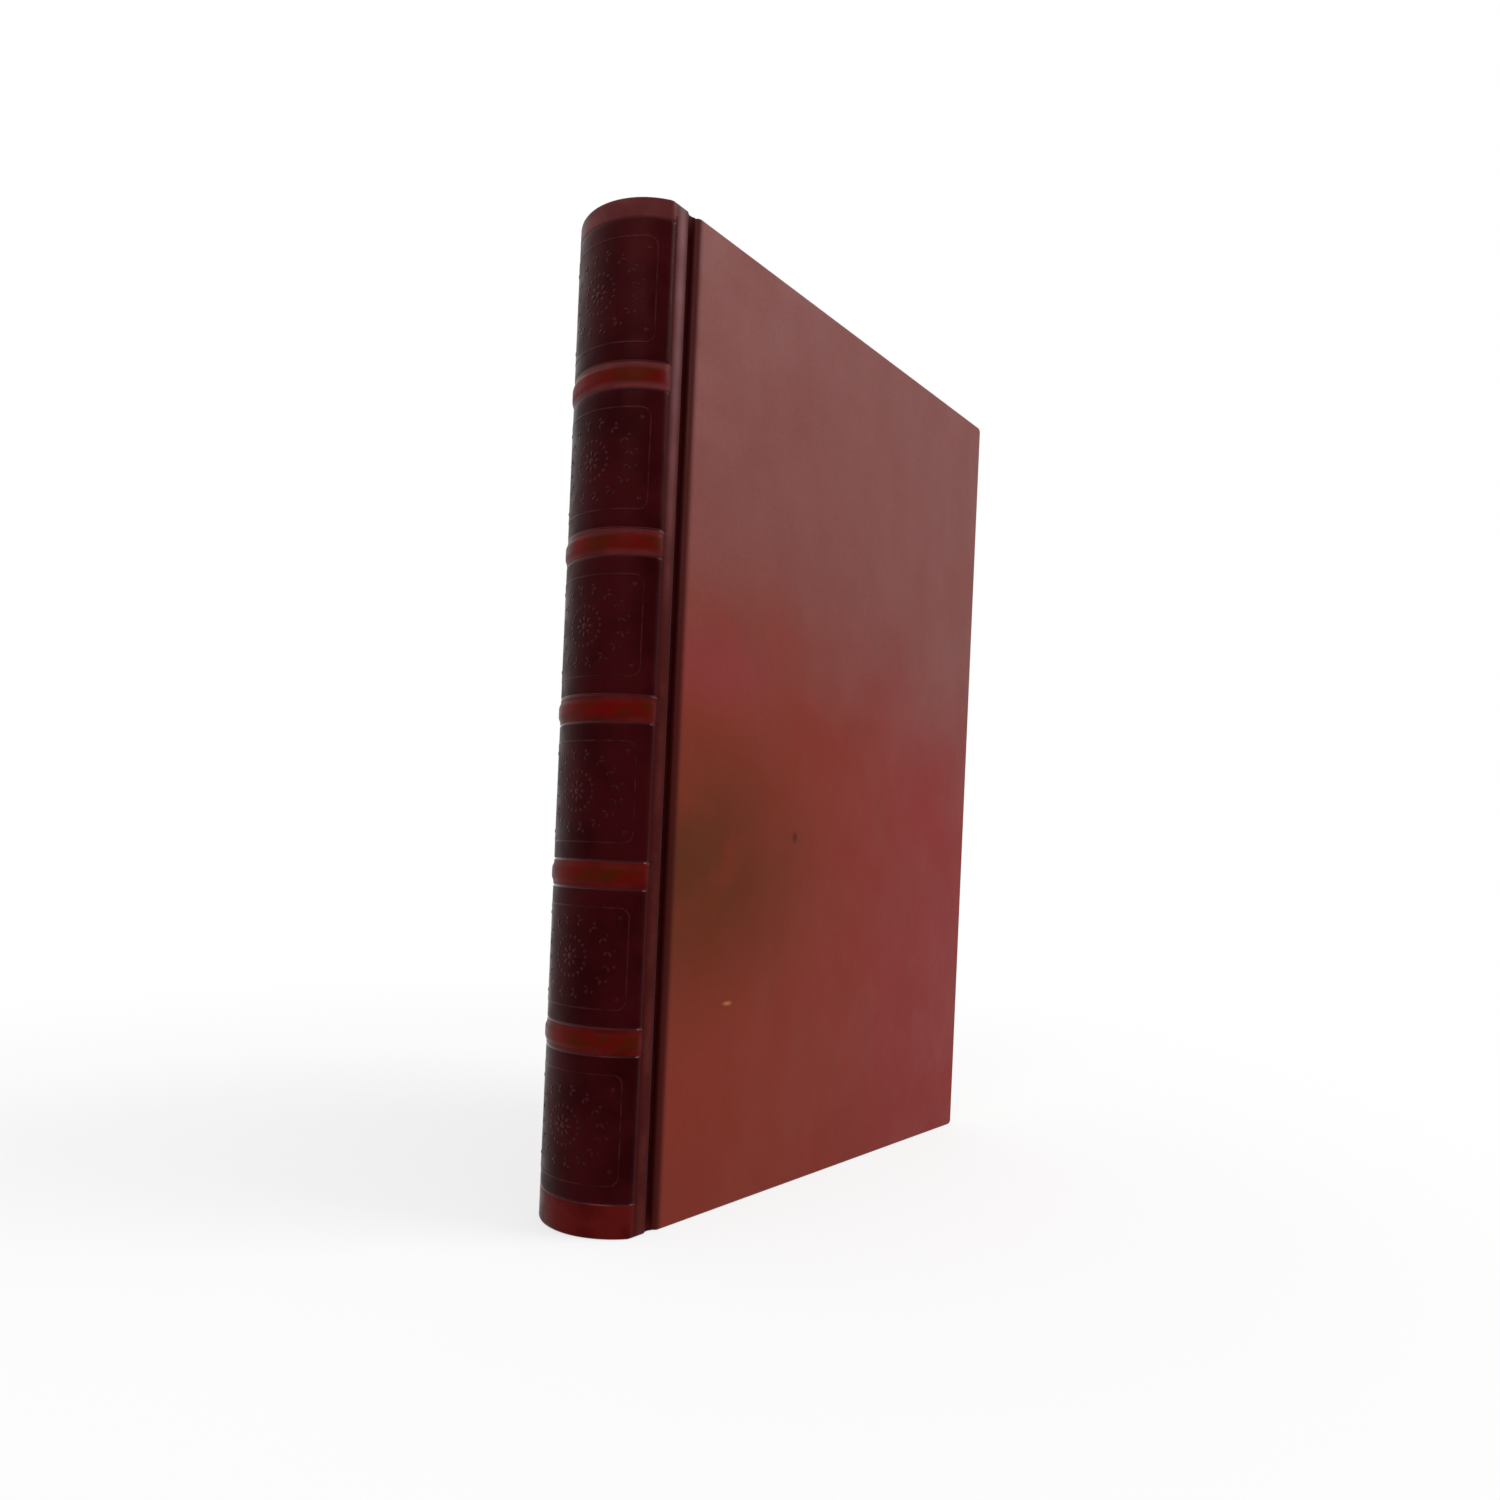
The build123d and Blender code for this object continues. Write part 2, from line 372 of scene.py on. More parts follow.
# %% [markdown]
# ## Moulded bands and tooled lines
# The bands are moulded over card strips: they rise steeply, have a soft top and sink towards the strip
# beside the back. The lines are pressed in with a warm wheel. Both could be cut as separate shapes, but
# the leather would then show seams, so each is a weight for every point and one displacement along the
# normal.

# %% Weights by place
def soft_step(value, start, stop):
    """Rises smoothly from 0 at start to 1 at stop."""
    share = min(1.0, max(0.0, (value - start) / (stop - start)))
    return share * share * (3 - 2 * share)


def band_weight(p):
    """Height of the moulded band at a point, as a share of its relief."""
    distance = min(abs(p.z - z) for z in band_heights)
    rise = soft_step(distance, band_half + 0.45 * mm, band_half - 0.95 * mm)
    crown = 1 - 0.1 * min(1.0, distance / band_half) ** 2
    return rise * crown * soft_step(p.x, corner_x + 1.1 * mm, corner_x - 2.2 * mm)


def line_weight(p):
    """Depth of the tooled lines at a point, as a share of their depth."""
    across = min(abs(p.z - z) for z in line_centres) if p.x < line_x + line_width / 2 else 1.0
    within = any(foot < p.z < head for foot, head in zip(panel_feet, panel_heads))
    along = abs(p.x - line_x) if within else 1.0
    distance = min(across, along)
    return cos(pi / 2 * min(1.0, distance / (0.65 * line_width))) ** 2


def panel_weight(p):
    """1 inside a tooled frame, where the leather is stained darkest, and 0 on bands and strips."""
    inside = max(
        soft_step(p.z, foot - 0.1 * mm, foot + 0.5 * mm) * soft_step(p.z, head + 0.1 * mm, head - 0.5 * mm)
        for foot, head in zip(panel_feet, panel_heads)
    )
    return inside * soft_step(p.x, line_x + 0.4 * mm, line_x - 0.4 * mm)


# %% Press the relief into the skin
def on_outside(p):
    return p.z > edge_round and p.z < height - edge_round


def displace_by(piece, weight, strength):
    """Moves the points of a piece along their normals by a weight from 0 to 1."""
    group = piece.vertex_groups.new(name="relief")
    for vertex in piece.data.vertices:
        share = weight(vertex.co) if on_outside(vertex.co) else 0.0
        if share > 0.001:
            group.add([vertex.index], share, "REPLACE")
    apply_modifier(piece, "DISPLACE", strength=strength, mid_level=0, vertex_group="relief")
    piece.vertex_groups.clear()


def mark(piece, name, weight):
    """Stores a weight at every point of a piece for its finish to read."""
    attribute = piece.data.attributes.new(name, "FLOAT", "POINT")
    attribute.data.foreach_set("value", [weight(vertex.co) for vertex in piece.data.vertices])


for name, weight in (("panel", panel_weight), ("band", band_weight), ("line", line_weight)):
    mark(spine_skin, name, weight)
displace_by(spine_skin, line_weight, -line_depth)
displace_by(spine_skin, band_weight, band_relief)
apply_modifier(spine_skin, "SOLIDIFY", thickness=0.6 * mm, offset=-1)
smooth(spine_skin, 50)
print("Spine skin has", len(spine_skin.data.polygons), "faces with its inner side")

# %% [markdown]
# ## Covers
# Leather drawn over a board keeps soft edges and small rounds at the corners, and is turned in on the
# inside, where the endpaper is pasted over it. It could be a sheet folded over the board, but only its
# outside is ever seen. So a block is rounded three times: the two corners at the fore-edge, the long edge
# that slopes into the joint, and last every edge that is still sharp.

# %% Model the front cover and copy it to the rear
turn_in_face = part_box("front_infill")[1].y
corner_radius = 1.5 * mm
joint_round = 1.6 * mm
cover_size = (high.x - cover_x, cover_face + turn_in_face, height)
cover_place = ((high.x + cover_x) / 2, (turn_in_face - cover_face) / 2, height / 2)
front_cover_skin = begin(
    "front_cover_skin", bpy.ops.mesh.primitive_cube_add, cover_place, cover_size, size=1
)
choose(front_cover_skin, "EDGE", lambda p: near(p.x, high.x))
for edge in bmesh.from_edit_mesh(front_cover_skin.data).edges:
    edge.select_set(edge.select and near(edge.verts[0].co.z, edge.verts[1].co.z))
bpy.ops.mesh.bevel(offset=corner_radius, segments=5)
choose(front_cover_skin, "EDGE", lambda p: near(p.x, cover_x) and near(p.y, -cover_face))
bpy.ops.mesh.bevel(offset=joint_round, segments=6)
bpy.ops.mesh.select_all(action="DESELECT")
bpy.ops.mesh.edges_select_sharp(sharpness=radians(50))
bpy.ops.mesh.bevel(offset=edge_round, segments=4)
end(front_cover_skin)
smooth(front_cover_skin)
rear_cover_skin = mirrored(front_cover_skin, "rear_cover_skin")
for skin in (front_cover_skin, rear_cover_skin):
    apply_modifier(skin, "WEIGHTED_NORMAL", keep_sharp=True)
print("Each cover skin has", len(front_cover_skin.data.polygons), "faces")

# %% [markdown]
# ## Joints
# In the sunk joint the leather goes down to the back of the board and up the other side, and it bends
# there when the cover opens. Here the bottom of the joint is a strip of its own, a shallow trough tucked
# into both walls, modelled as it lies with the book closed. The leather is folded double at head and
# tail, so the trough is fuller there. The fold of the endpaper on the inside is made in the same way.

# %% Model the joint leather
trough_depth = cover_face - 2.6 * mm
trough_edge = cover_face - 2.2 * mm
half_width = groove_width / 2 + 0.15 * mm
sag = trough_edge - trough_depth
trough_radius = (half_width**2 + sag**2) / (2 * sag)
trough_angle = asin(half_width / trough_radius)
end_gap = 0.1 * mm
front_joint_leather = begin_upright(
    "front_joint_leather", hinge_x - half_width, -trough_edge, end_gap, height - end_gap
)
doubled_rows = [reach * mm for reach in (0.1, 1, 2, 3, 4, 5, 6)]
cut_rows(doubled_rows[1:] + [height - reach for reach in doubled_rows[1:]])
cut_rows(spaced(0, height, 4 * mm)[2:-2])
bpy.ops.mesh.select_all(action="SELECT")
turn(-2 * trough_angle, (hinge_x, -trough_depth - trough_radius, 0), 14)
print("Trough is", round(2 * half_width / mm, 2), "mm wide and", round(sag / mm, 2), "mm deep")

# %% Fill it out at head and tail, and copy it to the rear
fullness = 1.1 * mm
for reach in doubled_rows:
    choose(front_joint_leather, "VERT", lambda p: near(min(p.z, height - p.z), reach))
    bpy.ops.transform.translate(value=(0, -fullness * soft_step(reach, 6 * mm, 0.5 * mm), 0))
end(front_joint_leather)
apply_modifier(front_joint_leather, "SOLIDIFY", thickness=leather, offset=-1)
smooth(front_joint_leather)
rear_joint_leather = mirrored(front_joint_leather, "rear_joint_leather")
print("Each strip of joint leather has", len(front_joint_leather.data.polygons), "faces")

# %% Model the fold of the endpaper
flyleaf_face = -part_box("front_flyleaf")[0].y
pastedown_low, pastedown_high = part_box("front_pastedown")
paper = 0.1 * mm
fold_start = groove_x + 0.2 * mm
fold_end = hinge_x + 0.9 * mm
fold_rise = pastedown_high.y + paper / 2 + flyleaf_face + paper
fold_steps = 12
front_endpaper_fold = begin_upright(
    "front_endpaper_fold", fold_start, -flyleaf_face - paper, pastedown_low.z, pastedown_high.z
)
cut_rows(spaced(0, height, 6 * mm)[1:-1])
bpy.ops.mesh.select_all(action="SELECT")
for step in range(fold_steps):
    pull(x=(fold_end - fold_start) / fold_steps, y=fold_rise / fold_steps)
end(front_endpaper_fold)
apply_modifier(front_endpaper_fold, "SOLIDIFY", thickness=paper, offset=-1)
smooth(front_endpaper_fold)
rear_endpaper_fold = mirrored(front_endpaper_fold, "rear_endpaper_fold")
print("Fold of the endpaper is", round((fold_end - fold_start) / mm, 2), "mm wide")

# %% [markdown]
# ## Headbands
# A headband is a thin roll with silk thread wound round it in two colours, worked over the ends of the
# pages. One turn of thread is modelled as a ring and copied along the arc of the back, so that each turn
# catches the light by itself. The roll inside it is a disc turned round the same arc.

# %% Copies of a modelled shape
def copies(shape, name, places):
    """Joins one copy of a shape for each place, a matrix, and takes the shape away."""
    made = []
    for place in places:
        copy = shape.copy()
        copy.data = shape.data.copy()
        copy.data.transform(place)
        bpy.context.scene.collection.objects.link(copy)
        made.append(copy)
    pick(*made)
    bpy.ops.object.join()
    bpy.data.objects.remove(shape)
    made[0].name = made[0].data.name = name
    return made[0]


# %% Wind the headbands
band_box_low, band_box_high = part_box("headband")
roll_radius = (band_box_high.z - band_box_low.z) / 2
roll_path = back_x - band_box_low.x - roll_radius
thread = 0.2 * mm
roll_reach = asin((band_box_high.y - thread) / roll_path)
ring_count = round(2 * roll_reach * roll_path / (1.9 * thread))
ring_steps, thread_sides = 14, 6


def wound_band(name, level_z):
    """A roll with its turns of thread, round the back at one height."""
    start = (back_x - roll_path * cos(roll_reach), roll_path * sin(roll_reach), level_z)
    roll = begin(
        name, bpy.ops.mesh.primitive_circle_add, start, (1, 1, 1),
        vertices=12, radius=roll_radius - thread, fill_type="NGON", rotation=(pi / 2, 0, -roll_reach),
    )
    turn(2 * roll_reach, (back_x, 0, level_z), 24)
    end(roll)
    ring = begin(
        name + "_ring", bpy.ops.mesh.primitive_torus_add, (0, 0, 0), (1, 1, 1),
        major_radius=roll_radius - thread, minor_radius=thread,
        major_segments=ring_steps, minor_segments=thread_sides, rotation=(pi / 2, 0, 0),
    )
    end(ring)
    arm = Matrix.Translation((-roll_path, 0, 0))
    centre = Matrix.Translation((back_x, 0, level_z))
    angles = spaced(-roll_reach, roll_reach, 2 * roll_reach / ring_count)
    turns = [centre @ Matrix.Rotation(angle, 4, "Z") @ arm for angle in angles]
    threads = copies(ring, name + "_threads", turns)
    smooth(roll)
    smooth(threads)
    return roll, threads


roll_z = (band_box_low.z + band_box_high.z) / 2
head_roll, head_threads = wound_band("headband_roll", roll_z)
tail_roll, tail_threads = wound_band("tailband_roll", height - roll_z)
print("Turns of thread on each band", ring_count + 1)

# %% [markdown]
# ## Tooled ornament
# Each panel of the spine has an inner frame with rounded corners and a small wreath round a rosette, a
# pattern as old as tooled bindings. The binder presses it with a few brass tools: a line, a bead and a
# leaf. It could be pressed into the skin as the lines are, but that needs many more points. So the bead
# and the leaf are modelled once and copied to their places round a flat frame, and the whole is bent
# round the back, where it stands up by about a tenth of a millimetre.

# %% Model the bead and the leaf
def bead():
    """A round dot, pressed flat, with its thickness along Y."""
    shape = begin(
        "bead", bpy.ops.mesh.primitive_uv_sphere_add, (0, 0, 0), (1, 0.26, 1),
        segments=10, ring_count=6, radius=0.45 * mm, rotation=(pi / 2, 0, 0),
    )
    return end(shape)


def leaf():
    """A pointed leaf that stands on its stalk at the origin."""
    half_length = 0.85 * mm
    shape = begin(
        "leaf", bpy.ops.mesh.primitive_uv_sphere_add, (0, 0, 0), (0.75, 0.24, 1.7),
        segments=10, ring_count=8, radius=0.5 * mm,
    )
    for reach, waist in ((0.45, 0.72), (0.7, 0.4)):
        choose(shape, "VERT", lambda p: abs(p.z) > reach * half_length)
        bpy.ops.transform.resize(value=(waist, waist, 1.03), center_override=(0, 0, 0))
    bpy.ops.mesh.select_all(action="SELECT")
    bpy.ops.transform.translate(value=(0, 0, 0.95 * mm))
    return end(shape)


# %% Lay out the wreath of one panel, flat
def at(x, z, spin=0.0, scale=1.0):
    """Place on the flat panel, turned within it."""
    return Matrix.Translation((x, 0, z)) @ Matrix.Rotation(spin, 4, "Y") @ Matrix.Scale(scale, 4)


def around(count, width, rise, offset=0.0):
    """Angles and points evenly round an oval."""
    for number in range(count):
        angle = 2 * pi * (number + offset) / count
        yield angle, width * sin(angle), rise * cos(angle)


petal_reach = 0.9 * mm
bead_ring = 4.6 * mm
wreath_width, wreath_rise = 10.2 * mm, 8.4 * mm
dot_x, dot_z = 12.6 * mm, 9.4 * mm


def wreath(middle):
    """Places of beads and leaves: a rosette, a ring of beads, a wreath of leaf pairs and corner dots."""
    beads = [at(0, middle, scale=1.7)]
    leaves = [at(0, middle, angle) for angle, _, _ in around(8, 1, 1)]
    leaves = [place @ Matrix.Translation((0, 0, petal_reach)) for place in leaves]
    beads += [at(x, middle + z, scale=0.9) for _, x, z in around(20, bead_ring, bead_ring)]
    for angle, x, z in around(16, wreath_width, wreath_rise, 0.5):
        leaves.append(at(x, middle + z, angle + radians(62), 0.95))
        leaves.append(at(x, middle + z, angle + radians(150), 0.8))
        beads.append(at(1.16 * x, middle + 1.13 * z, scale=0.8))
    for side in (-1, 1):
        beads += [at(side * dot_x, middle + rise * dot_z, scale=1.2) for rise in (-1, 1)]
    return beads, leaves


print("Beads and leaves in a wreath", [len(places) for places in wreath(0)])

# %% Make the ornament of each panel and bend it round the back
frame_half = 14.8 * mm
frame_inset = 4.4 * mm
frame_corner = 2.4 * mm
frame_width = 0.36 * mm
bend = 2 * frame_half / back_radius
onto_crest = Matrix.Translation((crest_x, 0, 0)) @ Matrix.Rotation(-pi / 2, 4, "Z")


def flat_frame(name, foot, head):
    """A narrow line round a panel with rounded corners, cut into short pieces so that it can bend."""
    middle = (foot + head) / 2
    piece = begin_sheet(name, (0, 0, middle), (2 * frame_half, 1, head - foot), (pi / 2, 0, 0))
    bpy.ops.mesh.bevel(offset=frame_corner, segments=6, affect="VERTICES")
    choose(piece, "FACE", lambda p: True)
    bpy.ops.mesh.inset(thickness=frame_width)
    bpy.ops.mesh.delete(type="FACE")
    for x in spaced(-frame_half, frame_half, 0.9 * mm)[1:-1]:
        cut((x, 0, 0), (1, 0, 0))
    end(piece)
    apply_modifier(piece, "SOLIDIFY", thickness=0.12 * mm, offset=0)
    return piece


def panel_ornament(number, foot, head):
    """Frame and wreath of one panel, joined, bent round the back and set in place."""
    name = f"panel_ornament_{number}"
    beads, leaves = wreath((foot + head) / 2)
    piece = flat_frame(name, foot + frame_inset, head - frame_inset)
    dots = copies(bead(), name + "_beads", beads)
    sprays = copies(leaf(), name + "_leaves", leaves)
    pick(piece, dots, sprays)
    bpy.ops.object.join()
    apply_modifier(piece, "SIMPLE_DEFORM", deform_method="BEND", deform_axis="Z", angle=bend)
    piece.data.transform(onto_crest)
    smooth(piece)
    return piece


ornaments = [
    panel_ornament(number, foot, head)
    for number, (foot, head) in enumerate(zip(panel_feet, panel_heads), start=1)
]
print("Ornament spans", [[round(c / mm, 1) for c in corner] for corner in ornaments[0].bound_box][::6])

# %% [markdown]
# ## Finishes
# Every finish is a small tree of nodes that reads the place on the object, so a pattern stays where it is
# when the book moves or the camera does. Colours are written as they look on a screen and turned into
# light by one helper. The rest of the helpers add a node, a noise, a mix of two colours and a bump.

# %% Node helpers
def screen(red, green, blue):
    """A colour as seen on a screen, from 0 to 255, as linear light."""
    parts = [value / 255 for value in (red, green, blue)]
    return tuple(v / 12.92 if v < 0.04045 else ((v + 0.055) / 1.055) ** 2.4 for v in parts) + (1.0,)


def new_finish(name, **sockets):
    """A material with its shader, and values that are the same all over."""
    material = bpy.data.materials.new(name)
    material.use_nodes = True
    shader = material.node_tree.nodes["Principled BSDF"]
    for socket, value in sockets.items():
        shader.inputs[socket.replace("_", " ")].default_value = value
    return material, shader


def add(owner, kind, inputs=None, **settings):
    """Adds a node to a material or the world. An input that is a socket is linked, another value is set."""
    node = owner.node_tree.nodes.new(kind)
    for setting, value in settings.items():
        setattr(node, setting, value)
    for socket, value in (inputs or {}).items():
        if isinstance(value, bpy.types.NodeSocket):
            owner.node_tree.links.new(value, node.inputs[socket])
        else:
            node.inputs[socket].default_value = value
    return node


def link(owner, source, node, socket):
    owner.node_tree.links.new(source, node.inputs[socket])


# %% Values from a place
def spot(material):
    """The place on the object."""
    return add(material, "ShaderNodeTexCoord").outputs["Object"]


def place_along(material, axis):
    """One coordinate of the place on the object."""
    return add(material, "ShaderNodeSeparateXYZ", {"Vector": spot(material)}).outputs[axis]


def stored(material, name):
    """A weight that was stored with the piece."""
    return add(material, "ShaderNodeAttribute", attribute_name=name).outputs["Fac"]


def maths(owner, operation, first, second):
    return add(owner, "ShaderNodeMath", {0: first, 1: second}, operation=operation).outputs["Value"]


def times(owner, value, factor):
    return maths(owner, "MULTIPLY", value, factor)


def length(owner, place):
    return add(owner, "ShaderNodeVectorMath", {0: place}, operation="LENGTH").outputs["Value"]


def remap(owner, value, start, stop, low=0.0, high=1.0):
    """Maps a value from start and stop to low and high, smoothly."""
    inputs = {"Value": value, "From Min": start, "From Max": stop, "To Min": low, "To Max": high}
    return add(owner, "ShaderNodeMapRange", inputs, interpolation_type="SMOOTHSTEP").outputs["Result"]


def noise(material, size, stretch=(1, 1, 1), detail=3.0, start=0.35, stop=0.65):
    """Noise with features of about a size, from 0 to 1."""
    inputs = {"Vector": spot(material), "Scale": stretch}
    mapped = add(material, "ShaderNodeMapping", inputs).outputs["Vector"]
    inputs = {"Vector": mapped, "Scale": 1 / size, "Detail": detail}
    return remap(material, add(material, "ShaderNodeTexNoise", inputs).outputs["Fac"], start, stop)


# %% Colours, bumps and the whole finish
def mix(material, share, first, second):
    """Mix of two colours, which may be colours or sockets."""
    inputs = {"Factor": share, 6: first, 7: second}
    return add(material, "ShaderNodeMix", inputs, data_type="RGBA").outputs[2]


def shades(material, size, dark, bright):
    """Two shades of one stain, mottled."""
    return mix(material, noise(material, size, detail=4.0), screen(*dark), screen(*bright))


def layered(material, base, layers):
    """Lays colours over a base, one after the other, each with its share."""
    for share, colour in layers:
        base = mix(material, share, base, colour)
    return base


def paint(material, shader, colour, roughness, reliefs):
    """Links a colour, a roughness and bumps, each a height and its depth in metres, to a shader."""
    link(material, colour, shader, "Base Color")
    link(material, roughness, shader, "Roughness")
    normal = None
    for relief, depth in reliefs:
        inputs = {"Height": relief, "Distance": depth, "Strength": 1.0}
        if normal:
            inputs["Normal"] = normal
        normal = add(material, "ShaderNodeBump", inputs).outputs["Normal"]
    link(material, normal, shader, "Normal")
    print("Finish", material.name, "has", len(material.node_tree.nodes), "nodes")


# %% [markdown]
# ## Calf
# Calf is smooth, with pores that only show as a fine grain, and it takes dye unevenly, so it mottles. It is
# darker where it turns over an edge, and in and beside the joints and at the sides of the strips on the
# spine a painted shade darkens it. A painted sheen makes the covers and the spine greyer and lighter
# towards the head. The panels of the spine were stained a second time, nearly black. The mottling is noise
# of several sizes, and the stain follows the weights that were stored with the skin. Marks of use could be
# painted on an image, but each is only a soft oval in one place, so it is a distance from that place. Old
# calf has a low sheen that takes up its dye, so the gloss is weak and tinted red.

# %% Grain of the skin
def calf_grain(material, pore_depth):
    """Pores, wrinkles and soft hollows of the skin, each with its depth."""
    inputs = {"Vector": spot(material), "Scale": 1 / (0.55 * mm)}
    pores = add(material, "ShaderNodeTexVoronoi", inputs, feature="SMOOTH_F1").outputs["Distance"]
    wrinkles = noise(material, 2.2 * mm, (1, 1, 0.6), 4.0, 0.2, 0.8)
    hollows = noise(material, 22 * mm, detail=2.0, start=0.2, stop=0.8)
    return (hollows, 0.25 * mm), (wrinkles, 0.02 * mm), (pores, pore_depth)


# %% Marks in one place
def patch(material, x, z, width, rise):
    """1 at a place on a cover, falling softly to 0 at an oval round it."""
    inputs = {
        "Vector": spot(material), "Location": (-x / width, 0, -z / rise), "Scale": (1 / width, 0, 1 / rise),
    }
    mapped = add(material, "ShaderNodeMapping", inputs).outputs["Vector"]
    return remap(material, length(material, mapped), 1, 0)


def front_only(material, share):
    """A share that is kept on the front of the book and is 0 on its rear."""
    return times(material, share, remap(material, place_along(material, "Y"), mm, -mm))


# %% Dye of the covers, with painted sheen towards the head
def cover_dye_and_sheen(material):
    """Red-brown calf, with painted sheen that makes it greyer and lighter towards the head."""
    along = place_along(material, "X")
    drift = times(material, noise(material, 40 * mm, start=0.2, stop=0.8), 24 * mm)
    level = maths(material, "ADD", place_along(material, "Z"), drift)
    level = maths(material, "ADD", level, times(material, along, 0.2))
    low = mix(material, remap(material, along, -0.03, 0.07), screen(118, 42, 28), screen(122, 37, 35))
    # painted sheen: towards the head the colour turns greyer and lighter, and a little lower towards the fore-edge
    return mix(material, remap(material, level, 128 * mm, 186 * mm), low, screen(116, 65, 61))


def cover_marks(material):
    """Marks of use on the front, and mottling: the share and the colour of each."""
    held = front_only(material, patch(material, -62 * mm, 86 * mm, 76 * mm, 50 * mm))
    uneven = noise(material, 20 * mm, detail=4.0, start=0.1, stop=0.5)
    blush = front_only(material, patch(material, -52 * mm, 136 * mm, 34 * mm, 16 * mm))
    mottle = noise(material, 16 * mm, (1.2, 1, 0.7), 4.0, 0.35, 0.7)
    flecks = noise(material, 1.1 * mm, detail=2.0, start=0.3, stop=0.8)
    smudge = front_only(material, patch(material, -16.6 * mm, 95 * mm, 1.9 * mm, 2.4 * mm))
    scuff = front_only(material, patch(material, -43 * mm, 52 * mm, 2.6 * mm, 0.8 * mm))
    return (
        (times(material, held, uneven), screen(80, 34, 2)),
        (times(material, blush, 0.6), screen(124, 44, 50)),
        (times(material, mottle, 0.16), screen(96, 40, 30)),
        (times(material, flecks, 0.14), screen(84, 30, 20)),
        (smudge, screen(66, 14, 12)),
        (scuff, screen(150, 104, 66)),
    )


def cover_edges(material):
    """Darker calf where it turns over an edge, and painted shade beside the joint: the share and the colour of
    each.
    """
    depth = maths(material, "ABSOLUTE", place_along(material, "Y"), 0)
    turned = remap(material, depth, cover_face - 2.2 * mm, cover_face - 0.2 * mm, 0.75, 0.0)
    # painted shade: the cover darkens over the last millimetres before the joint
    painted_joint_shade = remap(material, place_along(material, "X"), cover_x + 0.5 * mm, cover_x + 2.7 * mm, 0.9, 0.0)
    return (turned, screen(44, 8, 8)), (painted_joint_shade, screen(52, 8, 8))


# %% Calf for the covers
red_sheen = (1.0, 0.62, 0.58, 1.0)
cover_calf, shader = new_finish("cover_calf", Specular_IOR_Level=0.1, Specular_Tint=red_sheen)
colour = layered(cover_calf, cover_dye_and_sheen(cover_calf), cover_marks(cover_calf) + cover_edges(cover_calf))
worn = noise(cover_calf, 26 * mm, detail=4.0, start=0.3, stop=0.7)
roughness = remap(cover_calf, worn, 0, 1, 0.36, 0.5)
paint(cover_calf, shader, colour, roughness, calf_grain(cover_calf, 0.008 * mm))

# %% Colour of the spine, by height and along the strips, with painted sheen and shade
deep_sheen = (1.0, 0.25, 0.25, 1.0)
spine_calf, shader = new_finish("spine_calf", Specular_IOR_Level=0.06, Specular_Tint=deep_sheen)
strip_x = (line_x + groove_x) / 2


def calf_with_head_sheen(start, stop, size, tail_shades, head_shades):
    """Calf of the spine that goes from one pair of shades to another between two heights, the lighter, greyer head
    being painted sheen.
    """
    share = remap(spine_calf, place_along(spine_calf, "Z"), start, stop)
    tail, head = (shades(spine_calf, size, *pair) for pair in (tail_shades, head_shades))
    return mix(spine_calf, share, tail, head)


along = place_along(spine_calf, "X")
# painted sheen: both turn lighter and greyer towards the head
plain = calf_with_head_sheen(0.1, 0.235, 9 * mm, ((64, 8, 6), (80, 16, 14)), ((76, 32, 32), (90, 42, 42)))
strip_tone_and_sheen = calf_with_head_sheen(0.13, 0.23, 12 * mm, ((58, 12, 10), (76, 26, 22)), ((100, 60, 62), (112, 72, 74)))
# painted light and shade: the strip is lit along its middle and darkens to both sides, as a rounded ridge would be
# shaded
painted_ridge_light = times(
    spine_calf, remap(spine_calf, along, line_x, strip_x), remap(spine_calf, along, groove_x, strip_x)
)
strip = mix(spine_calf, painted_ridge_light, screen(50, 10, 10), strip_tone_and_sheen)

# %% Calf for the spine, stained in the panels and polished in the lines
colour = layered(spine_calf, plain, (
    (stored(spine_calf, "band"), shades(spine_calf, 7 * mm, (62, 18, 2), (84, 4, 4))),
    (stored(spine_calf, "panel"), shades(spine_calf, 14 * mm, (32, 1, 3), (46, 5, 8))),
    (remap(spine_calf, along, line_x - 0.2 * mm, line_x + 0.6 * mm), strip),
    (stored(spine_calf, "line"), screen(26, 2, 4)),
))
worn = noise(spine_calf, 8 * mm, detail=4.0, start=0.3, stop=0.7)
pressed = remap(spine_calf, stored(spine_calf, "line"), 0.1, 0.6)
link(spine_calf, remap(spine_calf, pressed, 0, 1, 0.06, 0.45), shader, "Specular IOR Level")
polish = times(spine_calf, pressed, 0.14)
roughness = maths(spine_calf, "SUBTRACT", remap(spine_calf, worn, 0, 1, 0.3, 0.44), polish)
paint(spine_calf, shader, colour, roughness, calf_grain(spine_calf, 0.012 * mm))

# %% Calf in the joints, painted dark as their shade, and on the tooling
shaded_joint_calf, shader = new_finish("shaded_joint_calf", Specular_IOR_Level=0.05, Specular_Tint=red_sheen)
# painted shade: the leather in the joints is the same calf, coloured near black as the sunk joint looks in shadow
colour = shades(shaded_joint_calf, 6 * mm, (42, 3, 3), (56, 6, 6))
worn = noise(shaded_joint_calf, 6 * mm, (1, 1, 0.3), 3.0)
roughness = remap(shaded_joint_calf, worn, 0, 1, 0.5, 0.62)
paint(shaded_joint_calf, shader, colour, roughness, calf_grain(shaded_joint_calf, 0.01 * mm))

tooled_calf, shader = new_finish("tooled_calf", Specular_IOR_Level=0.14, Specular_Tint=deep_sheen)
colour = shades(tooled_calf, 3 * mm, (30, 4, 6), (50, 14, 16))
polish = noise(tooled_calf, 3 * mm, detail=3.0)
pitted = noise(tooled_calf, 0.5 * mm, detail=2.0)
paint(tooled_calf, shader, colour, remap(tooled_calf, polish, 0, 1, 0.24, 0.4), ((pitted, 0.01 * mm),))

